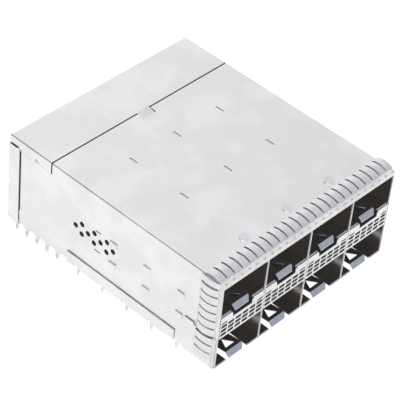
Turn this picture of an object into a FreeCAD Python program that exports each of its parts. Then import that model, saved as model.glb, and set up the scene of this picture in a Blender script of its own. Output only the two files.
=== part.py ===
import FreeCAD, Part
import math
import os

from FreeCAD import Vector

# Stacked cage and connector assembly for pluggable transceivers: two rows of
# ports in a folded sheet-metal cage that presses into a circuit board.
# The part is modelled from its front plane (y = 0, +Y to the rear) with the
# board plane at z = 0, and moved at the end so that the origin is the middle
# of the floor pan's underside.  Millimetres.

# cage
columns = 4
port_pitch = 14.25          # centre to centre of two columns
cage_depth = 66.8           # front plane to rear panel
cage_height = 25.2          # board plane to the top sheet
sheet = 0.25                # cage sheet
edge_allowance = 0.5        # outer sheets beyond the column grid, both sides together
fold_gap = 0.10             # air between two sheets that lie on each other
seam_gap = 0.38             # open seam between two sheets in one plane
bend_radius = 0.5           # outside of a folded edge
wall_lift = 0.45            # side wall's lower edge above the board plane

# ports
lower_ceiling = 8.85        # underside of the separator
upper_floor = 15.0          # top of the separator
fascia_drop = 1.4           # front edge rolled down from the top sheet
nose_radius = 0.45          # outside of the rolled front edge
separator_length = 46.4
hem_height = 0.15           # folded hem on the separator's front edge
hem_depth = 0.8
hem_groove = 0.3

# perforated front of the separator
slot_columns = 6
slot_rows = 3
slot_pitch_x = 2.27
slot_pitch_z = 1.2
slot_width = 1.84
slot_height = 0.8
first_row_z = 0.98          # above the separator's underside
side_slot_height = 0.4      # extra slot over the two outer columns
side_slot_z = 4.35
notch_width = 6.2           # room for the latch lip
notch_depth = 1.43

# latch tongues
latch_sheet = 0.2
latch_width = 5.1
latch_root = 8.8            # from the front plane
latch_tip = 1.15
latch_rise = 0.95
lip_drop = 0.95
lip_reach = 1.05
lip_chamfer = 0.8
latch_slot = 0.85           # air each side of the tongue
window_base = 2.8
window_length = 2.65
window_from_tip = 1.0

# springs that push a module out
kick_width = 5.6
kick_root = 45.35           # from the front plane
kick_length = 2.2
kick_lean = 35.0            # degrees forward from upright

# shield gasket
finger_slot = 0.5            # at the tips of the fingers
finger_spread = 0.12         # each side, by which a finger is wider at its root
finger_sheet = 0.15
finger_start = 1.0          # from the front plane, like the next four
finger_crest_at = 3.1
top_finger_end = 5.9
side_finger_end = 6.45
band_front = 0.95
band_depth = 0.4            # plain strip that joins the fingers
top_fingers = 24
top_pitch = 2.42
top_crest = 0.85
side_pitch = 2.36
side_crest = 1.0
side_fingers_upper = 6
side_fingers_lower = 3
gasket_split = 9.1          # between the upper and the lower gasket
corner_width = 1.35         # narrow finger beside the fold of the top sheet
corner_drop = 0.9           # its middle below the top sheet
corner_turn = 74.0          # degrees from lying flat

# top sheet and rear cover
seam_at = 53.0              # front plane to the rear cover's strip
skirt_bottom = 22.1
clip_left = -1.6
clip_right = 2.3
clip_reach = 2.2            # pocket in the top sheet, forward of the seam
clip_tuck = 0.4             # end of the tab under the top sheet
clip_gap = 0.06
cover_flange = 3.5
cover_flange_top = 22.75
cover_flange_bottom = 0.15
cover_flange_round = 0.9
lance_at = 58.2             # upright cut, towards the front of it the level cut
lance_base = 1.5
lance_height = 1.2
lance_bottom = 22.45
lance_width = 0.25
flange_slit = 0.3           # open seam round the side flange
flange_slit_bottom = 1.5
skirt_gap = 0.05
hook_height = 0.9
hook_depth = 0.45
hook_first = 2.0
hook_step = 8.7
hook_count = 3

# floor pan
floor_length = 46.8
front_flange_end = 9.85
front_flange_top = 9.4
front_flange_low = 8.9      # under the gasket's fingers
front_flange_start = 0.3
side_flange_start = 12.35
side_flange_top = 3.1

# embossed and pierced details
top_boss_radius = 1.2
top_boss_at = 7.7
emboss = 0.3
top_boss_height = 0.4
boss_hollow = 0.2           # dimple under a top boss
boss_front_height = 0.05    # a top boss rises from here to the full height
side_boss_length = 2.2
side_boss_height = 1.25
side_boss_first = 11.6
side_boss_step = 10.45
side_boss_count = 3
side_boss_tops = (9.05, 15.2)
tab_length = 2.2
tab_slit = 0.5
tab_places = (25.7, 41.7)
hold_slit_at = 37.4
hold_slit_length = 1.75
hold_slit_height = 0.3
vent_radius = 0.72
vent_at = 38.55
vent_pitch = 4.0
vent_row = 1.47
vent_middle = 12.35

# press-fit pins
front_pins = 5
front_pin_first = 11.5
front_pin_pitch = 7.9
rear_pins = 5
rear_pin_first = 50.2
rear_pin_pitch = 3.45
pin_length = 2.35           # below the board plane
pin_width = 0.95
pin_neck = 0.6
pin_root = 1.7
pin_slot = 1.95             # cut in the floor pan round a pin's root
eye_width = 0.3
eye_length = 0.9

# connectors
housing_front = 47.0
housing_depth = 5.0
housing_side_gap = 0.2
housing_top_gap = 1.15
snout_reach = 4.4
snout_width = 11.6
snout_height = 3.6
card_centre = 4.6           # card slot above the port's floor
card_slot = 1.1
card_width = 9.4
contacts_per_row = 10
contact_pitch = 0.8
contact_width = 0.36
contact_sheet = 0.2
contact_clearance = 0.1
tail_length = 1.9
row_turns = (54.4, 56.6, 59.8, 62.0)
organizer_front = 53.0
organizer_rear = 63.6
organizer_bottom = 0.3
organizer_sheet = 0.9

cage_width = columns * port_pitch + edge_allowance
half_width = cage_width / 2
inner_half = half_width - sheet
outer_half = half_width + fold_gap + sheet
column_x = [(i - (columns - 1) / 2) * port_pitch for i in range(columns)]
divider_x = [(i + 1 - columns / 2) * port_pitch for i in range(columns - 1)]
pin_places = [front_pin_first + i * front_pin_pitch for i in range(front_pins)]
pin_places += [rear_pin_first + i * rear_pin_pitch for i in range(rear_pins)]
floor_pin_places = [y for y in pin_places if y < floor_length]
separator_half = (port_pitch - sheet) / 2 - fold_gap
slit_tops = (lower_ceiling + 2 * sheet, upper_floor + fold_gap)


def block(x0, x1, y0, y1, z0, z1):
    """Box between two corners."""
    return Part.makeBox(x1 - x0, y1 - y0, z1 - z0, Vector(x0, y0, z0))


def outline_yz(points, x0, x1):
    """Polygon in the YZ plane, extruded from x0 to x1."""
    corners = [Vector(x0, y, z) for y, z in points]
    face = Part.Face(Part.makePolygon(corners + corners[:1]))
    return face.extrude(Vector(x1 - x0, 0, 0))


def outline_xy(points, z0, z1):
    """Polygon in the XY plane, extruded from z0 to z1."""
    corners = [Vector(x, y, z0) for x, y in points]
    face = Part.Face(Part.makePolygon(corners + corners[:1]))
    return face.extrude(Vector(0, 0, z1 - z0))


def mirrored(shape):
    """The same shape on the other side of the cage's middle plane."""
    return shape.mirror(Vector(0, 0, 0), Vector(1, 0, 0))


def joined(shapes):
    """One solid from touching shapes."""
    result = shapes[0].fuse(shapes[1:]) if len(shapes) > 1 else shapes[0]
    return result.removeSplitter()


def along(shape, axis, places):
    """Straight edges of a shape that run along an axis through the given places.

    A place is a pair of coordinates on the two other axes, in X, Y, Z order.
    """
    found = []
    for edge in shape.Edges:
        ends = [v.Point for v in edge.Vertexes]
        if len(ends) < 2 or abs(ends[0][axis] - ends[1][axis]) < edge.Length - 1e-6:
            continue
        rest = [ends[0][i] for i in range(3) if i != axis]
        if any(abs(rest[0] - a) < 1e-6 and abs(rest[1] - b) < 1e-6 for a, b in places):
            found.append(edge)
    return found


def press_fit_pin(x0, y, root_z):
    """Flat eye-of-the-needle pin that stands in the YZ plane from x0, one sheet thick."""
    half = pin_width / 2
    neck = pin_neck / 2
    root = pin_root / 2
    widest = -0.45 * pin_length
    side = [
        (root, root_z),
        (root, 0.0),
        (neck, -0.1 * pin_length),
        (half, widest + 0.1 * pin_length),
        (half, widest - 0.1 * pin_length),
        (neck / 2, -pin_length),
    ]
    points = [(y + a, z) for a, z in side] + [(y - a, z) for a, z in reversed(side)]
    pin = outline_yz(points, x0, x0 + sheet)
    eye = block(x0, x0 + sheet, y - eye_width / 2, y + eye_width / 2,
                widest - eye_length / 2, widest + eye_length / 2)
    return pin.cut(eye)


def wall_with_pins(x0, front, rear, top):
    """Upright sheet along Y with a pin at every pin place."""
    wall = block(x0, x0 + sheet, front, rear, wall_lift, top)
    return joined([wall] + [press_fit_pin(x0, y, wall_lift) for y in pin_places])


def hold_slits(x0, x1):
    """Slits where the separators' tabs hold in an upright wall."""
    y0 = hold_slit_at - hold_slit_length / 2
    return [block(x0, x1, y0, y0 + hold_slit_length, z - hold_slit_height, z) for z in slit_tops]


def make_side():
    """Left side wall with vents, embossed pads, slits and pins."""
    x0 = -half_width
    x1 = x0 + sheet
    rear = cage_depth - sheet - fold_gap
    wall = wall_with_pins(x0, 0, rear, cage_height)
    over_rear = block(x0, x1, seam_at - seam_gap / 2, cage_depth, skirt_bottom - skirt_gap, cage_height)
    flange_front = cage_depth - cover_flange
    beside_flange = block(x0, x1, flange_front - flange_slit, flange_front + fold_gap,
                          flange_slit_bottom, skirt_bottom)
    cuts = [over_rear, beside_flange] + hold_slits(x0, x1)
    for row in (-1, 0, 1):
        count = 4 if row == 0 else 3
        shift = -vent_pitch / 2 if row == 0 else 0
        for i in range(count):
            y = vent_at + shift + (i - 1) * vent_pitch
            centre = Vector(x0 - 1, y, vent_middle + row * vent_row)
            cuts.append(Part.makeCylinder(vent_radius, 2, centre, Vector(1, 0, 0)))
    pads = []
    for top in side_boss_tops:
        for i in range(side_boss_count):
            y = side_boss_first + i * side_boss_step
            y0 = y - side_boss_length / 2
            z0 = top - side_boss_height
            pads.append(block(x0 - emboss, x0, y0, y0 + side_boss_length, z0, top))
            cuts.append(block(x0 - emboss + 0.8 * sheet, x1, y0 + sheet, y0 + side_boss_length - sheet,
                              z0 + sheet, top - sheet))
    return joined([wall] + pads).cut(cuts)


def outside_of_bend(length, radius):
    """What a bend takes off a square edge along +X, from the corner at the origin towards +Y and -Z."""
    square = block(0, length, -1, radius, -radius, 1)
    return square.cut(Part.makeCylinder(radius, length, Vector(0, radius, -radius), Vector(1, 0, 0)))


def make_front_roll():
    """Front edge of the top sheet, rolled down to the lower edge of the fascia."""
    z = cage_height - nose_radius
    at = Vector(-half_width, nose_radius, z)
    roll = Part.makeCylinder(nose_radius, 2 * half_width, at, Vector(1, 0, 0))
    hollow = Part.makeCylinder(nose_radius - sheet, 2 * half_width, at, Vector(1, 0, 0))
    quarter = block(-half_width, half_width, 0, nose_radius, z, cage_height)
    fascia = block(-half_width, half_width, 0, sheet, cage_height - fascia_drop, z)
    return joined([roll.cut(hollow).common(quarter), fascia])


def make_main_shell():
    """Top sheet with its rolled front edge and the two side walls."""
    side = make_side()
    top = block(-half_width, half_width, nose_radius, seam_at - seam_gap / 2,
                cage_height - sheet, cage_height)
    bosses = []
    cuts = []
    for x in divider_x:
        centre = Vector(x, top_boss_at, cage_height)
        front = top_boss_at - top_boss_radius
        rear = top_boss_at + top_boss_radius
        slope = outline_yz([(front, cage_height), (front, cage_height + boss_front_height),
                            (rear, cage_height + top_boss_height), (rear, cage_height)],
                           x - top_boss_radius, x + top_boss_radius)
        bosses.append(Part.makeCylinder(top_boss_radius, top_boss_height, centre).common(slope))
        cuts.append(Part.makeCylinder(top_boss_radius - sheet, boss_hollow, centre - Vector(0, 0, sheet)))
        for y in tab_places:
            cuts.append(block(x - tab_slit / 2, x + tab_slit / 2, y - tab_length / 2 - fold_gap,
                              y + tab_length / 2 + fold_gap, cage_height - sheet, cage_height))
    cuts.append(block(clip_left - clip_gap, clip_right + clip_gap, seam_at - clip_reach,
                      seam_at, cage_height - sheet, cage_height))
    front_bend = outside_of_bend(2 * half_width, nose_radius)
    front_bend.translate(Vector(-half_width, 0, cage_height))
    side_bend = outside_of_bend(cage_depth, bend_radius)
    side_bend.rotate(Vector(0, 0, 0), Vector(0, 0, 1), -90)
    side_bend.translate(Vector(-half_width, cage_depth, cage_height))
    cuts += [front_bend, side_bend, mirrored(side_bend)]
    return joined([top, make_front_roll(), side, mirrored(side)] + bosses).cut(cuts)


def cover_flange_shape():
    """Side flange of the rear cover, outside the left wall, with hook notches."""
    x0 = -outer_half
    front = cage_depth - cover_flange
    flange = block(x0, x0 + sheet, front, cage_depth, cover_flange_bottom, cover_flange_top)
    corner = [e for e in flange.Edges
              if abs(e.CenterOfMass.y - front) < 1e-6 and abs(e.CenterOfMass.z - cover_flange_top) < 1e-6
              and abs(e.Length - sheet) < 1e-6]
    flange = flange.makeFillet(cover_flange_round, corner)
    notches = [block(x0 - 1, x0 + sheet + fold_gap, cage_depth - hook_depth, cage_depth + 1,
                     hook_first + i * hook_step, hook_first + i * hook_step + hook_height)
               for i in range(hook_count)]
    return flange, notches


def tab_fall(y):
    """How far the clip tab lies below the top sheet's upper face, so that its end tucks under the sheet."""
    root = seam_at + seam_gap / 2 + sheet
    return (sheet + fold_gap) * (root - y) / (root - seam_at + clip_reach)


def make_rear_cover():
    """Rear panel, its top strip with skirts, side flanges, clip tab and pins."""
    panel = block(-half_width, half_width, cage_depth - sheet, cage_depth, cover_flange_bottom, cage_height)
    wide = block(-outer_half, outer_half, cage_depth - sheet, cage_depth,
                 cover_flange_bottom, cover_flange_top)
    strip_front = seam_at + seam_gap / 2
    strip = block(-half_width, half_width, strip_front, cage_depth, cage_height - sheet, cage_height)
    skirt = block(-half_width, -inner_half, strip_front, cage_depth, skirt_bottom, cage_height)
    lance = outline_yz([(lance_at, lance_bottom + lance_height), (lance_at, lance_bottom),
                        (lance_at - lance_base, lance_bottom),
                        (lance_at - lance_base / 2, lance_bottom + lance_width / 2),
                        (lance_at - lance_width, lance_bottom + lance_width)], -half_width, -inner_half)
    flange_round_end = cage_depth - cover_flange + cover_flange_round
    over_flange = block(-half_width, -inner_half, flange_round_end, cage_depth - 2 * sheet,
                        cover_flange_top, cover_flange_top + flange_slit)
    skirt = skirt.cut([lance, over_flange])
    flange, notches = cover_flange_shape()
    tab_root = strip_front + sheet
    tab_end = seam_at - clip_reach - clip_tuck
    tab_z = cage_height - tab_fall(tab_end)
    tab = outline_yz([(tab_end, tab_z), (tab_root, cage_height), (tab_root, cage_height - sheet),
                      (tab_end, tab_z - sheet)], clip_left, clip_right)
    pins = [press_fit_pin(0, 0, cover_flange_bottom) for x in column_x]
    for pin, x in zip(pins, column_x):
        pin.rotate(Vector(0, 0, 0), Vector(0, 0, 1), 90)
        pin.translate(Vector(x, cage_depth - sheet, 0))
    cover = joined([panel, wide, strip, skirt, mirrored(skirt), flange, mirrored(flange)])
    folds = along(cover, 1, [(-half_width, cage_height), (half_width, cage_height)])
    folds += along(cover, 0, [(cage_depth, cage_height)])
    cover = joined([cover.makeFillet(bend_radius, folds), tab] + pins)
    return cover.cut(notches + [mirrored(n) for n in notches])


def latch_opening(xc, z0, z1):
    """Room for a latch tongue in a port's floor."""
    half = latch_width / 2 + latch_slot
    return block(xc - half, xc + half, -1, latch_root, z0, z1)


def make_floor_pan():
    """Floor of the lower ports, folded up outside the side walls."""
    floor = block(-outer_half, outer_half, 0, floor_length, 0, sheet)
    flange_low = outline_yz([(front_flange_start, 0), (front_flange_start, front_flange_low),
                             (side_finger_end + finger_slot, front_flange_low),
                             (side_finger_end + finger_slot, front_flange_top),
                             (front_flange_end, front_flange_top), (front_flange_end, 0)],
                            -outer_half, -outer_half + sheet)
    flange_rear = block(-outer_half, -outer_half + sheet, side_flange_start, floor_length,
                        0, side_flange_top)
    cuts = [latch_opening(xc, -1, 1) for xc in column_x]
    relief = block(-outer_half - 1, -inner_half + fold_gap, front_flange_end, side_flange_start, -1, 1)
    corner = block(-outer_half - 1, -half_width, -1, front_flange_start, -1, 1)
    for shape in (relief, corner):
        cuts += [shape, mirrored(shape)]
    for y in floor_pin_places:
        y0 = y - pin_slot / 2
        y1 = y + pin_slot / 2
        side_slot = block(-outer_half - 1, -inner_half + fold_gap, y0, y1, -1, wall_lift + fold_gap)
        cuts += [side_slot, mirrored(side_slot)]
        cuts += [block(x - tab_slit / 2, x + tab_slit / 2, y0, y1, -1, 1) for x in divider_x]
    pan = joined([floor, flange_low, flange_rear, mirrored(flange_low), mirrored(flange_rear)])
    return pan.cut(cuts)


def make_divider(x):
    """Wall between two columns, with tabs that show in the top sheet's slits."""
    x0 = x - sheet / 2
    rear = cage_depth - sheet - fold_gap
    wall = wall_with_pins(x0, 0, rear, cage_height - sheet - fold_gap)
    tabs = [block(x0, x0 + sheet, y - tab_length / 2, y + tab_length / 2,
                  cage_height - 3 * sheet, cage_height - fold_gap) for y in tab_places]
    under_roll = block(x0, x0 + sheet, -1, nose_radius, cage_height - fascia_drop - fold_gap, cage_height)
    shaped = joined([wall] + tabs)
    if clip_left - sheet < x < clip_right + sheet:
        tab_end = seam_at - clip_reach - clip_tuck
        under_clip = block(x0, x0 + sheet, tab_end - fold_gap, seam_at + 3 * sheet,
                           cage_height - tab_fall(tab_end) - sheet - fold_gap, cage_height)
        shaped = shaped.cut(under_clip)
    return shaped.cut([under_roll] + hold_slits(x0, x0 + sheet))


def make_separator(xc):
    """Hollow channel between the upper and the lower port, with a perforated front."""
    x0 = xc - separator_half
    x1 = xc + separator_half
    upper = block(x0, x1, 0, separator_length, upper_floor - sheet, upper_floor)
    lower = block(x0, x1, 0, separator_length, lower_ceiling, lower_ceiling + sheet)
    left = block(x0, x0 + sheet, 0, separator_length, lower_ceiling, upper_floor)
    right = block(x1 - sheet, x1, 0, separator_length, lower_ceiling, upper_floor)
    front = block(x0, x1, 0, sheet, lower_ceiling, upper_floor)
    groove = (hem_depth - hem_groove) / 2
    hem = outline_yz([(0, upper_floor - sheet), (0, upper_floor + hem_height),
                      (groove, upper_floor + hem_height),
                      (hem_depth / 2, upper_floor), (hem_depth - groove, upper_floor + hem_height),
                      (hem_depth, upper_floor + hem_height), (hem_depth, upper_floor - sheet)], x0, x1)
    tabs = []
    for top in slit_tops:
        y0 = hold_slit_at - hold_slit_length / 2 + fold_gap
        y1 = hold_slit_at + hold_slit_length / 2 - fold_gap
        z1 = top - fold_gap
        z0 = top - hold_slit_height + fold_gap
        reach = fold_gap + 0.4 * sheet
        tabs.append(block(x0 - reach, x0 + sheet, y0, y1, z0, z1))
        tabs.append(block(x1 - sheet, x1 + reach, y0, y1, z0, z1))
    channel = joined([upper, lower, left, right, front, hem] + tabs)
    cuts = []
    for i in range(slot_columns):
        x = xc + (i - (slot_columns - 1) / 2) * slot_pitch_x
        for j in range(slot_rows):
            z = lower_ceiling + first_row_z + j * slot_pitch_z
            cuts.append(block(x - slot_width / 2, x + slot_width / 2, -1, sheet,
                              z - slot_height / 2, z + slot_height / 2))
        if i in (0, slot_columns - 1):
            z = lower_ceiling + side_slot_z
            cuts.append(block(x - slot_width / 2, x + slot_width / 2, -1, sheet,
                              z - side_slot_height / 2, z + side_slot_height / 2))
    cuts.append(block(xc - notch_width / 2, xc + notch_width / 2, -1, hem_depth + fold_gap,
                      upper_floor - notch_depth, upper_floor + 1))
    cuts.append(latch_opening(xc, upper_floor - sheet - 0.1, upper_floor + 1))
    return channel.cut(cuts)


def make_latch(xc, floor_top):
    """Sprung tongue with a triangular catch window and a lip turned down at its end."""
    radius = latch_sheet / 2
    z0 = floor_top - sheet / 2 - radius
    rear = latch_root - fold_gap / 2 - radius
    tip_z = z0 + latch_rise
    lip_y = latch_tip - lip_reach
    lip_z = tip_z - lip_drop
    points = [(rear, z0), (latch_tip, tip_z), (lip_y, lip_z), (lip_y, lip_z + 1.3 * latch_sheet),
              (latch_tip, tip_z + latch_sheet), (rear, z0 + latch_sheet)]
    root = Part.makeCylinder(radius, latch_width, Vector(xc - latch_width / 2, rear, z0 + radius),
                             Vector(1, 0, 0))
    tongue = joined([outline_yz(points, xc - latch_width / 2, xc + latch_width / 2), root])
    base_y = latch_tip + window_from_tip
    window = outline_xy([(xc - window_base / 2, base_y), (xc + window_base / 2, base_y),
                         (xc, base_y + window_length)], z0 - 1, tip_z + 1)
    x1 = xc + latch_width / 2
    front = lip_y - 0.1
    chamfer = outline_xy([(x1 + 0.1, front), (x1 - lip_chamfer, front),
                          (x1 + 0.1, front + lip_chamfer + 0.1)],
                         z0 - 1, tip_z + 1)
    return tongue.cut([window, chamfer])


def make_kickout(xc, floor_top):
    """Leaf that leans forward in front of the connector and pushes a module out."""
    lean = math.radians(kick_lean)
    radius = latch_sheet / 2
    z0 = floor_top + fold_gap + radius
    along_leaf = (-math.sin(lean) * kick_length, math.cos(lean) * kick_length)
    across = (math.cos(lean) * radius, math.sin(lean) * radius)
    root = [(kick_root - across[0], z0 - across[1]), (kick_root + across[0], z0 + across[1])]
    tip = [(y + along_leaf[0], z + along_leaf[1]) for y, z in reversed(root)]
    leaf = outline_yz(root + tip, xc - kick_width / 2, xc + kick_width / 2)
    bead = Part.makeCylinder(radius, kick_width, Vector(xc - kick_width / 2, kick_root, z0),
                             Vector(1, 0, 0))
    gap = block(xc - kick_width / 6, xc + kick_width / 6, 0, kick_root,
                z0 + 2 * latch_sheet, z0 + 2 * kick_length)
    return joined([leaf, bead]).cut(gap)


def make_finger(width, crest, end, spread):
    """One spring finger over the line x = 0, standing on z = 0, with a rounded tip."""
    t = finger_sheet
    outer = Part.Arc(Vector(0, finger_start, t), Vector(0, finger_crest_at, crest),
                     Vector(0, end, 1.4 * t)).toShape()
    inner = Part.Arc(Vector(0, finger_start, 0), Vector(0, finger_crest_at, crest - t),
                     Vector(0, end, 0.4 * t)).toShape()
    front = Part.makeLine(Vector(0, finger_start, 0), Vector(0, finger_start, t))
    rear = Part.makeLine(Vector(0, end, 0.4 * t), Vector(0, end, 1.4 * t))
    face = Part.Face(Part.Wire(Part.__sortEdges__([outer, rear, inner, front])))
    face.translate(Vector(-width / 2 - spread, 0, 0))
    leaf = face.extrude(Vector(width + 2 * spread, 0, 0))
    radius = 0.45 * width
    reach = end - radius
    plan = outline_xy([(-width / 2 - spread, finger_start), (width / 2 + spread, finger_start),
                       (width / 2, reach), (-width / 2, reach)], -1, 2)
    tip = block(-width / 2 + radius, width / 2 - radius, 0, end, -1, 2)
    rounds = [Part.makeCylinder(radius, 3, Vector(s * (width / 2 - radius), reach, -1)) for s in (-1, 1)]
    return leaf.common(joined([plan, tip] + rounds))


def placed(finger, x, z, turn):
    """Copy of a finger turned about Y and moved."""
    copy = finger.copy()
    copy.rotate(Vector(0, 0, 0), Vector(0, 1, 0), turn)
    copy.translate(Vector(x, 0, z))
    return copy


def make_gasket_upper():
    """Folded strip of spring fingers over the top and down both sides."""
    t = finger_sheet
    outer = half_width + t
    rear = band_front + band_depth
    top = block(-outer, outer, band_front, rear, cage_height, cage_height + t)
    side = block(-outer, -half_width, band_front, rear, gasket_split, cage_height + t)
    parts = [top, side, mirrored(side)]
    finger = make_finger(top_pitch - finger_slot, top_crest, top_finger_end, finger_spread)
    parts += [placed(finger, (i - (top_fingers - 1) / 2) * top_pitch, cage_height, 0)
              for i in range(top_fingers)]
    finger = make_finger(side_pitch - finger_slot, side_crest, side_finger_end, finger_spread)
    column = [placed(finger, -half_width, gasket_split + (i + 0.5) * side_pitch, -90)
              for i in range(side_fingers_upper)]
    corner = make_finger(corner_width, top_crest - t, side_finger_end, 0)
    column.append(placed(corner, -outer, cage_height - corner_drop, -corner_turn))
    return joined(parts + column + [mirrored(f) for f in column])


def make_gasket_lower():
    """Strip of spring fingers on the left flange of the floor pan."""
    t = finger_sheet
    band = block(-outer_half - t, -outer_half, band_front, band_front + band_depth, 0, front_flange_low)
    finger = make_finger(side_pitch - finger_slot, side_crest - fold_gap - sheet, side_finger_end,
                         finger_spread)
    column = [placed(finger, -outer_half, front_flange_low - (i + 0.5) * side_pitch, -90)
              for i in range(side_fingers_lower)]
    return joined([band] + column)


def contact_rows():
    """Height of each row of contacts and where behind the housing it turns down."""
    rows = []
    for floor_top, turns in ((sheet, row_turns[:2]), (upper_floor, row_turns[2:])):
        centre = floor_top + card_centre
        offset = card_slot / 2 - contact_sheet / 2 + contact_clearance
        rows.append((centre - offset, turns[0]))
        rows.append((centre + offset, turns[1]))
    return rows


def make_housing(xc):
    """Moulded connector with one card slot for each port."""
    half = port_pitch / 2 - sheet / 2 - housing_side_gap
    rear = housing_front + housing_depth
    top = cage_height - housing_top_gap
    body = block(xc - half, xc + half, housing_front, rear, organizer_bottom + sheet, top)
    parts = [body]
    cuts = []
    for floor_top in (sheet, upper_floor):
        z = floor_top + card_centre
        snout = block(xc - snout_width / 2, xc + snout_width / 2,
                      housing_front - snout_reach, housing_front,
                      z - snout_height / 2, z + snout_height / 2)
        rim = [e for e in snout.Edges if abs(e.CenterOfMass.y - (housing_front - snout_reach)) < 1e-6]
        parts.append(snout.makeChamfer(0.4, rim))
        cuts.append(block(xc - card_width / 2, xc + card_width / 2, 0, housing_front,
                          z - card_slot / 2, z + card_slot / 2))
    run = (contacts_per_row - 1) * contact_pitch + contact_width
    room = run / 2 + contact_clearance
    tall = contact_sheet / 2 + contact_clearance
    for z, turn in contact_rows():
        cuts.append(block(xc - room, xc + room, housing_front - 0.8 * snout_reach, rear + 1,
                          z - tall, z + tall))
    return joined(parts).cut(cuts)


def make_contacts(xc):
    """All contacts of one column: each runs back from its card slot and down to the board."""
    half = contact_sheet / 2
    front = housing_front - 0.7 * snout_reach
    solids = []
    for z, turn in contact_rows():
        points = [(front, z - half), (front, z + half),
                  (turn + half, z + half), (turn + half, -0.6 * tail_length),
                  (turn + half / 2, -tail_length), (turn - half / 2, -tail_length),
                  (turn - half, -0.6 * tail_length), (turn - half, z - half)]
        for i in range(contacts_per_row):
            x = xc + (i - (contacts_per_row - 1) / 2) * contact_pitch
            solids.append(outline_yz(points, x - contact_width / 2, x + contact_width / 2))
    return Part.Compound(solids)


def make_organizer(xc):
    """Plate that holds the contact tails in line at the board."""
    half = port_pitch / 2 - sheet / 2 - housing_side_gap
    plate = block(xc - half, xc + half, organizer_front, organizer_rear,
                  organizer_bottom, organizer_bottom + organizer_sheet)
    tall = contact_sheet / 2 + contact_clearance
    wide = contact_width / 2 + contact_clearance
    cuts = []
    for z, turn in contact_rows():
        for i in range(contacts_per_row):
            x = xc + (i - (contacts_per_row - 1) / 2) * contact_pitch
            cuts.append(block(x - wide, x + wide, turn - tall, turn + tall, 0, 2))
    return plate.cut(cuts)


def save(name, shape):
    """Move a shape to the part's own frame and write it as one node."""
    shape = shape.copy()
    shape.translate(Vector(0, -floor_length / 2, 0))
    shape.exportStep("parts/" + name + ".step")
    print(name, len(shape.Solids), "solid(s)", round(shape.Volume, 2), "mm3", shape.isValid())


os.makedirs("parts", exist_ok=True)
save("main_shell", make_main_shell())
save("rear_cover", make_rear_cover())
save("floor_pan", make_floor_pan())
save("emi_gasket_upper", make_gasket_upper())
save("emi_gasket_lower_left", make_gasket_lower())
save("emi_gasket_lower_right", mirrored(make_gasket_lower()))
for number, place in enumerate(divider_x, 1):
    save("divider_wall_%d" % number, make_divider(place))
for number, place in enumerate(column_x, 1):
    save("port_separator_%d" % number, make_separator(place))
    save("latch_upper_%d" % number, make_latch(place, upper_floor))
    save("latch_lower_%d" % number, make_latch(place, sheet))
    save("kickout_upper_%d" % number, make_kickout(place, upper_floor))
    save("kickout_lower_%d" % number, make_kickout(place, sheet))
    save("connector_housing_%d" % number, make_housing(place))
    save("signal_contacts_%d" % number, make_contacts(place))
    save("tail_organizer_%d" % number, make_organizer(place))
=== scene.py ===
import math
import bmesh
import bpy
from mathutils import Matrix, Vector


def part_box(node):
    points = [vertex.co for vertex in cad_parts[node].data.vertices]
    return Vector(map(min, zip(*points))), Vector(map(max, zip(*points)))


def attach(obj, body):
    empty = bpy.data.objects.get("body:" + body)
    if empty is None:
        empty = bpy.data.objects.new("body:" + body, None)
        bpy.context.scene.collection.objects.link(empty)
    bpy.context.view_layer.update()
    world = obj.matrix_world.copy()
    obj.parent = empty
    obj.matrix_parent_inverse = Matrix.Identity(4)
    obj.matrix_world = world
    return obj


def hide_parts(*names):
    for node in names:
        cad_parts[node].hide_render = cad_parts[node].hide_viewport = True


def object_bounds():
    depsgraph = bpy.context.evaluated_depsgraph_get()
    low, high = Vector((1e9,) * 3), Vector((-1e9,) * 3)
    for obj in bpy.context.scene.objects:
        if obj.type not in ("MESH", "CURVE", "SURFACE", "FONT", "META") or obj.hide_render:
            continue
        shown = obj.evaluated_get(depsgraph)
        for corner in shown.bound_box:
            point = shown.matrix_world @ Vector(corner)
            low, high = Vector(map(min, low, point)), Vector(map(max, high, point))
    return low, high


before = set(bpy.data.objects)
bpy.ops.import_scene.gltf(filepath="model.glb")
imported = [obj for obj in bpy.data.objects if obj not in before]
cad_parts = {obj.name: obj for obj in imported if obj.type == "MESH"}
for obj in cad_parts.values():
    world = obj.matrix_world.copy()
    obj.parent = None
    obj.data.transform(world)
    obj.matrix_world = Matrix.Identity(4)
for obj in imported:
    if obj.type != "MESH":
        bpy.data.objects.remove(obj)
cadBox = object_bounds()
mm = 0.001

# The frame's own places, so that every piece follows the model
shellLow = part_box("main_shell")[0]
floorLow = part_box("floor_pan")[0]
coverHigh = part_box("rear_cover")[1]
frontY = shellLow.y
rearY = coverHigh.y
topZ = coverHigh.z
shellSheet = 0.25 * mm
foldGap = 0.1 * mm
outerHalf = coverHigh.x
shellHalf = outerHalf - foldGap - shellSheet


def linearColour(code):
    def channel(value):
        return value / 12.92 if value <= 0.04045 else ((value + 0.055) / 1.055) ** 2.4
    parts = [int(code[i:i + 2], 16) / 255 for i in (1, 3, 5)]
    return tuple(channel(part) for part in parts) + (1.0,)


def addNode(tree, kind, values=None, links=None, **settings):
    node = tree.nodes.new(kind)
    for name, value in settings.items():
        setattr(node, name, value)
    for name, value in (values or {}).items():
        node.inputs[name].default_value = value
    for name, source in (links or {}).items():
        tree.links.new(source, node.inputs[name])
    return node


def newMaterial(name, shader):
    material = bpy.data.materials.new(name)
    material.use_nodes = True
    tree = material.node_tree
    tree.nodes.clear()
    bsdf = addNode(tree, "ShaderNodeBsdfPrincipled", values=shader)
    output = addNode(tree, "ShaderNodeOutputMaterial")
    tree.links.new(bsdf.outputs["BSDF"], output.inputs["Surface"])
    return material, tree, bsdf


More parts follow.
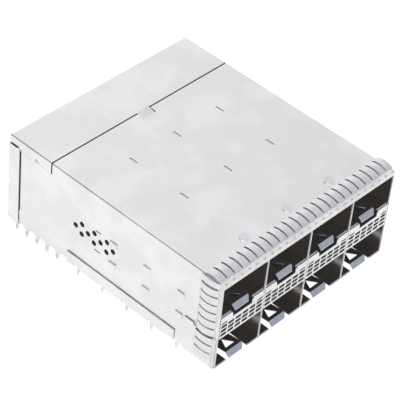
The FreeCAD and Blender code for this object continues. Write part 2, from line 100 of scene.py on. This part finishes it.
def rampBetween(tree, source, low, high, first, last):
    ramp = addNode(tree, "ShaderNodeValToRGB", links={"Fac": source})
    ramp.color_ramp.elements[0].position = low
    ramp.color_ramp.elements[0].color = first
    ramp.color_ramp.elements[1].position = high
    ramp.color_ramp.elements[1].color = last
    return ramp


# Pattern sizes are in millimetres; object coordinates are in metres, so a pattern's scale is 1000 / size
# The inside colour is painted shade, a dark tone on the faces within the cage; the inside glow is painted
# light, a faint glow there that stands in for light bounced between the walls
sheetLook = {
    "light": "#F6F6F7", "cloud": "#EFEEEE", "cloudLow": 0.20, "cloudHigh": 0.34,
    "insidePaintedShade": "#3B3735", "insidePaintedGlow": 0.02, "insidePaintedGlowColour": "#FFF3EA",
    "cloudSize": 16.0, "stainSize": 8.0, "grainSize": 0.16, "rollSize": 0.22, "rollStretch": 0.04,
    "roughLow": 0.30, "roughHigh": 0.38, "insideRough": 0.24, "insideMetal": 0.75,
    "bumpStrength": 0.35, "bumpHeight": 0.000003,
    "edgeRough": 0.75, "edgeDepth": 1.0 * mm, "frontEdge": 0.3 * mm, "frontOnly": False,
}


# A face is outside when a point this far out from it lies outside the cage's box
maskSizes = {"probe": 0.6 * mm}


# Nickel silver strip, cold rolled, blanked and folded: an even satin grey with soft cloudy marks
def makeSheetMaterial(name, look):
    material, tree, bsdf = newMaterial(name, {"Metallic": 1.0})
    place = addNode(tree, "ShaderNodeTexCoord").outputs["Object"]
    cloud = addNode(tree, "ShaderNodeTexNoise",
                    {"Scale": 1000 / look["cloudSize"], "Detail": 3.0, "Roughness": 0.55}, {"Vector": place})
    stain = addNode(tree, "ShaderNodeTexNoise",
                    {"Scale": 1000 / look["stainSize"], "Detail": 5.0, "Distortion": 0.8}, {"Vector": place})
    mixed = addNode(tree, "ShaderNodeMath", links={0: cloud.outputs["Fac"], 1: stain.outputs["Fac"]},
                    operation="MULTIPLY")
    tone = rampBetween(tree, mixed.outputs[0], look["cloudLow"], look["cloudHigh"],
                       linearColour(look["cloud"]), linearColour(look["light"]))
    outside = outsideMask(tree, place, look["frontEdge"], look["frontOnly"])
    # Painted shade: faces within the cage take the dark inside colour in place of the sheet's cloudy tone
    shade = addNode(tree, "ShaderNodeMix", {6: linearColour(look["insidePaintedShade"])},
                    {0: outside, 7: tone.outputs["Color"]}, data_type="RGBA")
    tree.links.new(shade.outputs[2], bsdf.inputs["Base Color"])
    metal = addNode(tree, "ShaderNodeMapRange", {"To Min": look["insideMetal"], "To Max": 1.0},
                    {"Value": outside})
    tree.links.new(metal.outputs[0], bsdf.inputs["Metallic"])
    # Painted light: faces within the cage glow faintly, standing in for light bounced around inside
    glow = addNode(tree, "ShaderNodeMapRange", {"To Min": look["insidePaintedGlow"], "To Max": 0.0},
                   {"Value": outside})
    bsdf.inputs["Emission Color"].default_value = linearColour(look["insidePaintedGlowColour"])
    tree.links.new(glow.outputs[0], bsdf.inputs["Emission Strength"])
    rough = addNode(tree, "ShaderNodeMapRange",
                    {"From Min": 0.35, "From Max": 0.65,
                     "To Min": look["roughLow"], "To Max": look["roughHigh"]},
                    {"Value": stain.outputs["Fac"]})
    depth = addNode(tree, "ShaderNodeSeparateXYZ", links={0: place})
    nearFront = addNode(tree, "ShaderNodeMath", {1: frontY + look["edgeDepth"]}, {0: depth.outputs[1]},
                        operation="LESS_THAN")
    outer = addNode(tree, "ShaderNodeMix", {3: look["edgeRough"]},
                    {0: nearFront.outputs[0], 2: rough.outputs[0]}, data_type="FLOAT")
    roughMix = addNode(tree, "ShaderNodeMix", {2: look["insideRough"]}, {0: outside, 3: outer.outputs[0]},
                       data_type="FLOAT")
    tree.links.new(roughMix.outputs[0], bsdf.inputs["Roughness"])
    stretch = addNode(tree, "ShaderNodeMapping", {"Scale": (1.0, look["rollStretch"], 1.0)},
                      {"Vector": place})
    rolled = addNode(tree, "ShaderNodeTexNoise", {"Scale": 1000 / look["rollSize"], "Detail": 2.0},
                     {"Vector": stretch.outputs[0]})
    grain = addNode(tree, "ShaderNodeTexNoise", {"Scale": 1000 / look["grainSize"], "Detail": 2.0},
                    {"Vector": place})
    height = addNode(tree, "ShaderNodeMath", links={0: rolled.outputs["Fac"], 1: grain.outputs["Fac"]},
                     operation="ADD")
    bump = addNode(tree, "ShaderNodeBump", {"Strength": look["bumpStrength"], "Distance": look["bumpHeight"]},
                   {"Height": height.outputs[0]})
    tree.links.new(bump.outputs["Normal"], bsdf.inputs["Normal"])
    return material


# 1 on the faces seen from outside and on the front edges, 0 on the faces within the cage, which the sheet
# finishes paint with shade
def outsideMask(tree, place, frontEdge, frontOnly):
    facing = addNode(tree, "ShaderNodeNewGeometry").outputs["True Normal"]
    probe = addNode(tree, "ShaderNodeVectorMath", {1: (maskSizes["probe"],) * 3}, {0: facing, 2: place},
                    operation="MULTIPLY_ADD")
    axes = addNode(tree, "ShaderNodeSeparateXYZ", links={0: probe.outputs[0]})
    side = addNode(tree, "ShaderNodeMath", links={0: axes.outputs[0]}, operation="ABSOLUTE")
    tests = [
        addNode(tree, "ShaderNodeMath", {1: shellHalf}, {0: side.outputs[0]}, operation="SUBTRACT"),
        addNode(tree, "ShaderNodeMath", {0: frontY + frontEdge}, {1: axes.outputs[1]}, operation="SUBTRACT"),
        addNode(tree, "ShaderNodeMath", {1: rearY}, {0: axes.outputs[1]}, operation="SUBTRACT"),
        addNode(tree, "ShaderNodeMath", {1: topZ}, {0: axes.outputs[2]}, operation="SUBTRACT"),
        addNode(tree, "ShaderNodeMath", {0: floorLow.z}, {1: axes.outputs[2]}, operation="SUBTRACT"),
    ]
    if frontOnly:
        tests = tests[1:2]
    largest = tests[0]
    for test in tests[1:]:
        largest = addNode(tree, "ShaderNodeMath", links={0: largest.outputs[0], 1: test.outputs[0]},
                          operation="MAXIMUM")
    mask = addNode(tree, "ShaderNodeMath", {1: 0.0}, {0: largest.outputs[0]}, operation="GREATER_THAN")
    return mask.outputs[0]


stripLook = {"rollStretch": 0.15, "bumpStrength": 0.3}  # the same for every strip below
springLook = dict(stripLook, light="#EFEFF0", dark="#E2E3E6", streakSize=0.5, roughLow=0.20, roughHigh=0.34,
                  bumpHeight=0.000003)
latchLook = dict(stripLook, light="#D2D5DC", dark="#C9CDD5", streakSize=0.8, roughLow=0.26, roughHigh=0.32,
                 bumpHeight=0.000001)
# Finger sides: the rougher finish stands for the sheared cut; the darker colours are painted shade of the
# slots between fingers, paler on the side rows
shearedDarkSlotShadeLook = dict(stripLook, light="#A69F98", dark="#8B847D", streakSize=0.2, roughLow=0.45, roughHigh=0.6,
                   bumpHeight=0.000004)
shearedPaleSlotShadeLook = dict(shearedDarkSlotShadeLook, light="#D5D1CC", dark="#C6C1BB")
copperLook = dict(stripLook, light="#F9EBDA", dark="#F1D8BC", streakSize=0.15, roughLow=0.35, roughHigh=0.5,
                  bumpHeight=0.000004)
contactLook = dict(stripLook, light="#E8C77E", dark="#D8B268", streakSize=0.3, roughLow=0.18, roughHigh=0.3,
                   bumpHeight=0.000002)


# Plated or plain spring strip: brighter and smoother than the cage, with faint streaks along the roll
def makeStripMaterial(name, look):
    material, tree, bsdf = newMaterial(name, {"Metallic": 1.0})
    place = addNode(tree, "ShaderNodeTexCoord").outputs["Object"]
    stretch = addNode(tree, "ShaderNodeMapping", {"Scale": (1.0, look["rollStretch"], 1.0)},
                      {"Vector": place})
    streak = addNode(tree, "ShaderNodeTexNoise", {"Scale": 1000 / look["streakSize"], "Detail": 4.0},
                     {"Vector": stretch.outputs[0]})
    tone = rampBetween(tree, streak.outputs["Fac"], 0.35, 0.65, linearColour(look["dark"]),
                       linearColour(look["light"]))
    tree.links.new(tone.outputs["Color"], bsdf.inputs["Base Color"])
    rough = addNode(tree, "ShaderNodeMapRange",
                    {"From Min": 0.3, "From Max": 0.7,
                     "To Min": look["roughLow"], "To Max": look["roughHigh"]},
                    {"Value": streak.outputs["Fac"]})
    tree.links.new(rough.outputs[0], bsdf.inputs["Roughness"])
    bump = addNode(tree, "ShaderNodeBump", {"Strength": look["bumpStrength"], "Distance": look["bumpHeight"]},
                   {"Height": streak.outputs["Fac"]})
    tree.links.new(bump.outputs["Normal"], bsdf.inputs["Normal"])
    return material


resinLook = {"light": "#1D1D1E", "dark": "#121213", "grainSize": 0.12, "fleckSize": 0.6, "rough": 0.55,
             "bumpStrength": 0.4, "bumpHeight": 0.00001}


# Liquid crystal polymer, injection moulded with glass fibre: near black, dull, with a fine flow grain
def makeResinMaterial(name, look):
    material, tree, bsdf = newMaterial(name, {"Metallic": 0.0, "IOR": 1.6, "Roughness": look["rough"]})
    place = addNode(tree, "ShaderNodeTexCoord").outputs["Object"]
    fleck = addNode(tree, "ShaderNodeTexNoise", {"Scale": 1000 / look["fleckSize"], "Detail": 4.0},
                    {"Vector": place})
    tone = rampBetween(tree, fleck.outputs["Fac"], 0.3, 0.7, linearColour(look["dark"]),
                       linearColour(look["light"]))
    tree.links.new(tone.outputs["Color"], bsdf.inputs["Base Color"])
    grain = addNode(tree, "ShaderNodeTexNoise", {"Scale": 1000 / look["grainSize"], "Detail": 3.0},
                    {"Vector": place})
    bump = addNode(tree, "ShaderNodeBump", {"Strength": look["bumpStrength"], "Distance": look["bumpHeight"]},
                   {"Height": grain.outputs["Fac"]})
    tree.links.new(bump.outputs["Normal"], bsdf.inputs["Normal"])
    return material


# Walls and dividers: a paler, glossy painted shade on their inner faces, with the same faint painted glow
wallLook = dict(sheetLook, insidePaintedShade="#A8A5A2", insideRough=0.2, insideMetal=1.0)
# Port separators: painted shade and a faint painted glow on all their faces behind the front 0.85 mm
piercedLook = dict(sheetLook, frontEdge=0.85 * mm, frontOnly=True, edgeRough=0.3)
sheetMetal = makeSheetMaterial("nickelSilverSheet", sheetLook)
wallMetal = makeSheetMaterial("nickelSilverWall", wallLook)
piercedMetal = makeSheetMaterial("piercedSheetShadedBehindFront", piercedLook)
springMetal = makeStripMaterial("tinnedSpringStrip", springLook)
latchMetal = makeStripMaterial("stainlessSpringStrip", latchLook)
shearedDarkSlotShadeEdge = makeStripMaterial("shearedStripEdgeDarkSlotShade", shearedDarkSlotShadeLook)
shearedPaleSlotShadeEdge = makeStripMaterial("shearedStripEdgePaleSlotShade", shearedPaleSlotShadeLook)
copperTint = makeStripMaterial("copperWeldTint", copperLook)
contactMetal = makeStripMaterial("goldFlashedStrip", contactLook)
resin = makeResinMaterial("blackMouldedResin", resinLook)
print("materials made")


nodeFinish = {
    "main_shell": wallMetal, "divider_wall": wallMetal, "rear_cover": sheetMetal, "floor_pan": sheetMetal,
    "port_separator": piercedMetal, "emi_gasket": springMetal, "latch": latchMetal, "kickout": latchMetal,
    "connector_housing": resin, "signal_contacts": contactMetal, "tail_organizer": resin,
}
for nodeName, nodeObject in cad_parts.items():
    for start, finish in nodeFinish.items():
        if nodeName.startswith(start):
            nodeObject.data.materials.clear()
            nodeObject.data.materials.append(finish)
print("finishes given to", len(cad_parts), "nodes")


# Spring fingers of the shield gasket, on the top and on the sides
topFingers = {"count": 24, "pitch": 2.42 * mm, "slot": 0.5 * mm, "crest": 0.83 * mm, "end": 5.88 * mm}
sideFingers = {"count": 6, "pitch": 2.36 * mm, "slot": 0.5 * mm, "crest": 0.98 * mm, "end": 6.43 * mm}
lowerFingers = {"count": 3, "pitch": 2.36 * mm, "slot": 0.5 * mm, "end": 6.43 * mm, "crestGap": 0.02 * mm}
cornerFinger = {"width": 1.35 * mm, "crest": 0.68 * mm, "end": 6.43 * mm, "drop": 0.9 * mm,
                "turn": math.radians(74)}
strip = {"sheet": 0.15 * mm, "start": 1.0 * mm, "crestAt": 3.1 * mm, "bandFront": 0.97 * mm,
         "bandDepth": 0.2 * mm, "edgeRound": 0.03 * mm, "spread": 0.04 * mm,
         "tipRound": 0.45, "tipLift": 0.4}  # shares of the finger's width and of the sheet
fingerMesh = {"across": 6, "along": 16, "crowding": 1.25, "sharpAngle": math.radians(40)}
spots = {"width": 1.05 * mm, "height": 0.62 * mm, "proud": 0.02 * mm, "foldRadius": 0.45 * mm,
         "lean": math.radians(30), "sideAt": 0.55 * mm, "segments": 12, "rings": 6}


# Height at y of the arc through three points
def arcHeight(first, middle, last, y):
    (x1, h1), (x2, h2), (x3, h3) = first, middle, last
    d = 2 * (x1 * (h2 - h3) + x2 * (h3 - h1) + x3 * (h1 - h2))
    a = x1 * x1 + h1 * h1
    b = x2 * x2 + h2 * h2
    c = x3 * x3 + h3 * h3
    cx = (a * (h2 - h3) + b * (h3 - h1) + c * (h1 - h2)) / d
    ch = (a * (x3 - x2) + b * (x1 - x3) + c * (x2 - x1)) / d
    radius = math.hypot(x1 - cx, h1 - ch)
    return ch + math.sqrt(max(radius * radius - (y - cx) ** 2, 0.0))


def meshObject(name, vertices, faces, smooth=True):
    mesh = bpy.data.meshes.new(name)
    mesh.from_pydata(vertices, [], faces)
    mesh.update()
    mesh.polygons.foreach_set("use_smooth", [smooth] * len(mesh.polygons))
    if smooth:
        mesh.set_sharp_from_angle(angle=fingerMesh["sharpAngle"])
    made = bpy.data.objects.new(name, mesh)
    bpy.context.scene.collection.objects.link(made)
    return made


# One finger over x = 0, standing on z = 0 and pointing along +Y, as a closed leaf with a rounded tip
def makeFinger(name, width, crest, end, spread=0.0):
    sheet = strip["sheet"]
    across, along = fingerMesh["across"], fingerMesh["along"]
    radius = strip["tipRound"] * width
    first, last = strip["start"], end
    grid = []
    for j in range(along + 1):
        share = j / along
        y = first + (last - first) * (1 - (1 - share) ** fingerMesh["crowding"])
        low = arcHeight((first, 0.0), (strip["crestAt"], crest - sheet), (last, strip["tipLift"] * sheet), y)
        over = max(0.0, y - (last - radius))
        half = width / 2 - radius + math.sqrt(max(radius * radius - over * over, 0.0))
        half += spread * max(0.0, (last - radius - y) / (last - radius - first))
        grid.append([(half * (2 * i / across - 1), y, low, strip["edgeRound"] if i in (0, across) else 0.0)
                     for i in range(across + 1)])
    vertices = [(x, y, low + sheet - fall) for row in grid for x, y, low, fall in row]
    vertices += [(x, y, low) for row in grid for x, y, low, fall in row]
    step = across + 1
    under = step * (along + 1)
    faces = []
    for j in range(along):
        for i in range(across):
            a = j * step + i
            faces.append((a, a + 1, a + 1 + step, a + step))
            faces.append((under + a + step, under + a + 1 + step, under + a + 1, under + a))
        left, right = j * step, j * step + across
        faces.append((left, left + step, under + left + step, under + left))
        faces.append((right + step, right, under + right, under + right + step))
    tip = along * step
    for i in range(across):
        faces.append((i + 1, i, under + i, under + i + 1))
        faces.append((tip + i, tip + i + 1, under + tip + i + 1, under + tip + i))
    return meshObject(name, vertices, faces)


# Geometry Nodes: a row of one object, evenly stepped and turned, as real faces with one finish
def makeRowTree():
    tree = bpy.data.node_groups.new("steppedRow", "GeometryNodeTree")
    sockets = {"Count": "NodeSocketInt", "Start": "NodeSocketVector", "Step": "NodeSocketVector",
               "Turn": "NodeSocketVector", "Template": "NodeSocketObject", "Finish": "NodeSocketMaterial"}
    for label, kind in sockets.items():
        tree.interface.new_socket(label, in_out="INPUT", socket_type=kind)
    tree.interface.new_socket("Geometry", in_out="OUTPUT", socket_type="NodeSocketGeometry")
    given = addNode(tree, "NodeGroupInput")
    line = addNode(tree, "GeometryNodeMeshLine", links={
        "Count": given.outputs["Count"], "Start Location": given.outputs["Start"],
        "Offset": given.outputs["Step"]})
    template = addNode(tree, "GeometryNodeObjectInfo", {"As Instance": True},
                       {"Object": given.outputs["Template"]})
    turn = addNode(tree, "FunctionNodeEulerToRotation", links={0: given.outputs["Turn"]})
    placed = addNode(tree, "GeometryNodeInstanceOnPoints", links={
        "Points": line.outputs["Mesh"], "Instance": template.outputs["Geometry"],
        "Rotation": turn.outputs[0]})
    real = addNode(tree, "GeometryNodeRealizeInstances", links={0: placed.outputs[0]})
    finished = addNode(tree, "GeometryNodeSetMaterial", links={
        "Geometry": real.outputs[0], "Material": given.outputs["Finish"]})
    addNode(tree, "NodeGroupOutput", links={0: finished.outputs[0]})
    return tree


rowTree = makeRowTree()


def makeRow(name, template, count, start, step, turn, finish):
    row = bpy.data.objects.new(name, bpy.data.meshes.new(name))
    bpy.context.scene.collection.objects.link(row)
    modifier = row.modifiers.new("row", "NODES")
    modifier.node_group = rowTree
    values = {"Count": count, "Start": start, "Step": step, "Turn": turn, "Template": template,
              "Finish": finish}
    for item in rowTree.interface.items_tree:
        if item.item_type == "SOCKET" and item.in_out == "INPUT":
            modifier[item.identifier] = values[item.name]
    bpy.context.view_layer.update()
    evaluated = row.evaluated_get(bpy.context.evaluated_depsgraph_get())
    mesh = bpy.data.meshes.new_from_object(evaluated)
    row.modifiers.clear()
    row.data = mesh
    return row


# The cut sides of every finger in a row take the rougher finish of a sheared edge and a darker colour,
# painted shade of the narrow slots between fingers
def dullAndShadeFingerSides(row, template, finish):
    row.data.materials.append(finish)
    sides = [abs(face.normal.x) > 0.8 for face in template.data.polygons]
    for index, face in enumerate(row.data.polygons):
        if sides[index % len(sides)]:
            face.material_index = 1
    return row


def boxMesh(name, low, high, bevel, finish):
    bm = bmesh.new()
    bmesh.ops.create_cube(bm, size=1.0)
    size = [high[i] - low[i] for i in range(3)]
    middle = [(high[i] + low[i]) / 2 for i in range(3)]
    bmesh.ops.scale(bm, vec=size, verts=bm.verts)
    bmesh.ops.translate(bm, vec=middle, verts=bm.verts)
    bmesh.ops.bevel(bm, geom=list(bm.edges), offset=bevel, segments=2, profile=0.5, affect="EDGES")
    mesh = bpy.data.meshes.new(name)
    bm.to_mesh(mesh)
    bm.free()
    mesh.materials.append(finish)
    made = bpy.data.objects.new(name, mesh)
    bpy.context.scene.collection.objects.link(made)
    return made


# Several objects become one mesh piece
def joinPieces(name, pieces):
    bm = bmesh.new()
    finishes = []
    for piece in pieces:
        offset = len(finishes)
        finishes += list(piece.data.materials)
        before = len(bm.faces)
        bm.from_mesh(piece.data)
        bm.faces.ensure_lookup_table()
        for face in bm.faces[before:]:
            face.material_index += offset
    unique = list(dict.fromkeys(finishes))
    for face in bm.faces:
        face.material_index = unique.index(finishes[face.material_index])
    mesh = bpy.data.meshes.new(name)
    bm.to_mesh(mesh)
    bm.free()
    for finish in unique:
        mesh.materials.append(finish)
    for piece in pieces:
        bpy.data.objects.remove(piece)
    made = bpy.data.objects.new(name, mesh)
    bpy.context.scene.collection.objects.link(made)
    return made


def bandBox(name, x0, x1, z0, z1):
    start = frontY + strip["bandFront"]
    low, high = sorted((x0, x1))
    return boxMesh(name, (low, start, z0), (high, start + strip["bandDepth"], z1), strip["edgeRound"],
                   springMetal)


# Where the first of the top row stands, centred on the cage
def topRowStart():
    return -(topFingers["count"] - 1) / 2 * topFingers["pitch"]


# Finger template for a row: full pitch less the slot
def fingerFor(row, crest):
    return makeFinger("fingerTemplate", row["pitch"] - row["slot"], crest, row["end"], strip["spread"])


def makeUpperGasket():
    sheet = strip["sheet"]
    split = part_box("emi_gasket_upper")[0].z
    top = fingerFor(topFingers, topFingers["crest"])
    flank = fingerFor(sideFingers, sideFingers["crest"])
    corner = makeFinger("cornerTemplate", cornerFinger["width"], cornerFinger["crest"], cornerFinger["end"])
    first = (topRowStart(), frontY, topZ)
    pieces = [bandBox("band", -shellHalf - sheet, shellHalf + sheet, topZ, topZ + sheet)]
    row = makeRow("topRow", top, topFingers["count"], first, (topFingers["pitch"], 0, 0), (0, 0, 0),
                  springMetal)
    pieces.append(dullAndShadeFingerSides(row, top, shearedDarkSlotShadeEdge))
    for side in (-1, 1):
        pieces.append(bandBox("sideBand", side * shellHalf, side * (shellHalf + sheet), split, topZ + sheet))
        first = (side * shellHalf, frontY, split + sideFingers["pitch"] / 2)
        row = makeRow("sideRow", flank, sideFingers["count"], first, (0, 0, sideFingers["pitch"]),
                      (0, side * math.pi / 2, 0), springMetal)
        pieces.append(dullAndShadeFingerSides(row, flank, shearedPaleSlotShadeEdge))
        first = (side * (shellHalf + sheet), frontY, topZ - cornerFinger["drop"])
        row = makeRow("cornerRow", corner, 1, first, (0, 0, 0), (0, side * cornerFinger["turn"], 0),
                      springMetal)
        pieces.append(dullAndShadeFingerSides(row, corner, shearedPaleSlotShadeEdge))
    gasket = joinPieces("upperShieldGasket", pieces)
    for template in (top, flank, corner):
        bpy.data.objects.remove(template)
    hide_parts("emi_gasket_upper")
    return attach(gasket, "cage")


def makeLowerGasket(side, node):
    sheet = strip["sheet"]
    low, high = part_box(node)
    flank = fingerFor(lowerFingers, high.x - low.x - lowerFingers["crestGap"])
    pieces = [bandBox("sideBand", side * outerHalf, side * (outerHalf + sheet), low.z, high.z)]
    first = (side * outerHalf, frontY, high.z - lowerFingers["pitch"] / 2)
    row = makeRow("sideRow", flank, lowerFingers["count"], first, (0, 0, -lowerFingers["pitch"]),
                  (0, side * math.pi / 2, 0), springMetal)
    pieces.append(dullAndShadeFingerSides(row, flank, shearedPaleSlotShadeEdge))
    gasket = joinPieces("lowerShieldGasket" + ("Left" if side < 0 else "Right"), pieces)
    bpy.data.objects.remove(flank)
    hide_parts(node)
    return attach(gasket, "cage")


# Copper-tinted weld spots on the rolled front edge and on the side rims, one at each finger
def makeWeldSpots():
    bm = bmesh.new()
    bmesh.ops.create_uvsphere(bm, u_segments=spots["segments"], v_segments=spots["rings"], radius=0.5)
    bmesh.ops.scale(bm, vec=(spots["width"], spots["height"], 2 * spots["proud"]), verts=bm.verts)
    for vertex in bm.verts:
        vertex.co.z -= vertex.co.y ** 2 / (2 * spots["foldRadius"])
    mesh = bpy.data.meshes.new("spotTemplate")
    bm.to_mesh(mesh)
    bm.free()
    template = bpy.data.objects.new("spotTemplate", mesh)
    bpy.context.scene.collection.objects.link(template)
    mesh.polygons.foreach_set("use_smooth", [True] * len(mesh.polygons))
    first = (topRowStart(),
             frontY + spots["foldRadius"] * (1 - math.sin(spots["lean"])),
             topZ - spots["foldRadius"] * (1 - math.cos(spots["lean"])))
    pieces = [makeRow("noseSpots", template, topFingers["count"], first, (topFingers["pitch"], 0, 0),
                      (spots["lean"], 0, 0), copperTint)]
    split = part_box("emi_gasket_upper")[0].z
    for side in (-1, 1):
        first = (side * shellHalf, frontY + spots["sideAt"], split + sideFingers["pitch"] / 2)
        pieces.append(makeRow("rimSpots", template, sideFingers["count"], first, (0, 0, sideFingers["pitch"]),
                              (0, side * math.pi / 2, 0), copperTint))
    welds = joinPieces("gasketWeldSpots", pieces)
    bpy.data.objects.remove(template)
    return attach(welds, "cage")


makeUpperGasket()
makeLowerGasket(-1, "emi_gasket_lower_left")
makeLowerGasket(1, "emi_gasket_lower_right")
makeWeldSpots()
print("gaskets made")


# Bench, light and camera; the camera's place is measured from the middle of the front edge
stageSizes = {"half": 3.0, "colour": "#B4B4B4", "rough": 0.9, "glow": 0.54, "seenGlow": 0.9}
lightSizes = {"place": (-0.5, -0.25, 0.7), "target": (0, 0, 0.01), "size": 1.2, "power": 4.0}
cameraSizes = {"lens": 171.331, "sensor": 36.0, "near": 0.01, "place": (-0.257357, -0.179457, 0.301683),
               "tilt": 0.853970, "turn": -0.881028, "roll": 0.108286}


def makeStage(sizes):
    low = cadBox[0]
    half = sizes["half"]
    floor = meshObject("paleBench", [(-half, -half, low[2]), (half, -half, low[2]), (half, half, low[2]),
                                     (-half, half, low[2])], [(0, 1, 2, 3)], smooth=False)
    material, tree, bsdf = newMaterial("paleBenchTop", {
        "Base Color": linearColour(sizes["colour"]), "Roughness": sizes["rough"],
        "Emission Color": linearColour("#FFFFFF")})
    seen = addNode(tree, "ShaderNodeLightPath")
    glow = addNode(tree, "ShaderNodeMapRange", {"To Min": sizes["glow"], "To Max": sizes["seenGlow"]},
                   {"Value": seen.outputs["Is Camera Ray"]})
    tree.links.new(glow.outputs[0], bsdf.inputs["Emission Strength"])
    floor.data.materials.append(material)


# A white tent all round, greyer low in front, where the room shows, and in a gap at the left
skyLook = {
    "strength": 0.95,
    "room": (0.55, -0.80, 0.20),
    "roomTones": ((-0.02, "#FFFFFF"), (0.05, "#F8F8F9"), (0.12, "#EAEBED"), (0.32, "#E2E3E7"),
                  (0.55, "#D9DBE0"), (0.80, "#CFD2D9"), (0.93, "#BFC3CD"), (1.00, "#AEB3BF")),
    "gap": (-0.80, 0.45, 0.40),
    "gapTones": ((0.72, "#FFFFFF"), (0.90, "#7D7874")),
}


def toneTowards(tree, direction, target, tones):
    along = addNode(tree, "ShaderNodeVectorMath", {1: Vector(target).normalized()}, {0: direction},
                    operation="DOT_PRODUCT")
    first, last = tones[0][0], tones[-1][0]
    share = addNode(tree, "ShaderNodeMapRange", {"From Min": first, "From Max": last},
                    {"Value": along.outputs["Value"]})
    ramp = addNode(tree, "ShaderNodeValToRGB", links={"Fac": share.outputs[0]})
    elements = ramp.color_ramp.elements
    for place, code in tones[1:-1]:
        elements.new((place - first) / (last - first)).color = linearColour(code)
    elements[0].color = linearColour(tones[0][1])
    elements[-1].color = linearColour(tones[-1][1])
    return ramp.outputs["Color"]


def makeWorld(look):
    scene = bpy.context.scene
    scene.world = bpy.data.worlds.new("softTent")
    scene.world.use_nodes = True
    tree = scene.world.node_tree
    tree.nodes.clear()
    direction = addNode(tree, "ShaderNodeTexCoord").outputs["Generated"]
    room = toneTowards(tree, direction, look["room"], look["roomTones"])
    gap = toneTowards(tree, direction, look["gap"], look["gapTones"])
    both = addNode(tree, "ShaderNodeVectorMath", links={0: room, 1: gap}, operation="MULTIPLY")
    tent = addNode(tree, "ShaderNodeBackground", {"Strength": look["strength"]}, {"Color": both.outputs[0]})
    plain = addNode(tree, "ShaderNodeBackground", {"Color": (1, 1, 1, 1), "Strength": 1.0})
    seen = addNode(tree, "ShaderNodeLightPath")
    mixed = addNode(tree, "ShaderNodeMixShader", links={0: seen.outputs["Is Camera Ray"], 1: tent.outputs[0],
                                                        2: plain.outputs[0]})
    addNode(tree, "ShaderNodeOutputWorld", links={"Surface": mixed.outputs[0]})
    scene.view_settings.view_transform = "Standard"
    scene.view_settings.look = "None"


def makeLight(name, sizes):
    light = bpy.data.lights.new(name, "AREA")
    light.shape = "SQUARE"
    light.size = sizes["size"]
    light.energy = sizes["power"]
    made = bpy.data.objects.new(name, light)
    made.location = sizes["place"]
    aim = Vector(sizes["target"]) - Vector(sizes["place"])
    made.rotation_euler = aim.to_track_quat("-Z", "Y").to_euler()
    bpy.context.scene.collection.objects.link(made)


def makeCamera(sizes):
    camera = bpy.data.cameras.new("viewCamera")
    camera.lens = sizes["lens"]
    camera.sensor_width = sizes["sensor"]
    camera.clip_start = sizes["near"]
    made = bpy.data.objects.new("viewCamera", camera)
    turned = Matrix.Rotation(sizes["turn"], 4, "Z") @ Matrix.Rotation(sizes["tilt"], 4, "X")
    turned = turned @ Matrix.Rotation(sizes["roll"], 4, "Z")
    made.matrix_world = Matrix.Translation(Vector(sizes["place"]) + Vector((0, frontY, 0))) @ turned
    bpy.context.scene.collection.objects.link(made)
    bpy.context.scene.camera = made


makeStage(stageSizes)
makeWorld(skyLook)
makeLight("softKey", lightSizes)
makeCamera(cameraSizes)
print("bench, light and camera made")

bpy.context.view_layer.update()
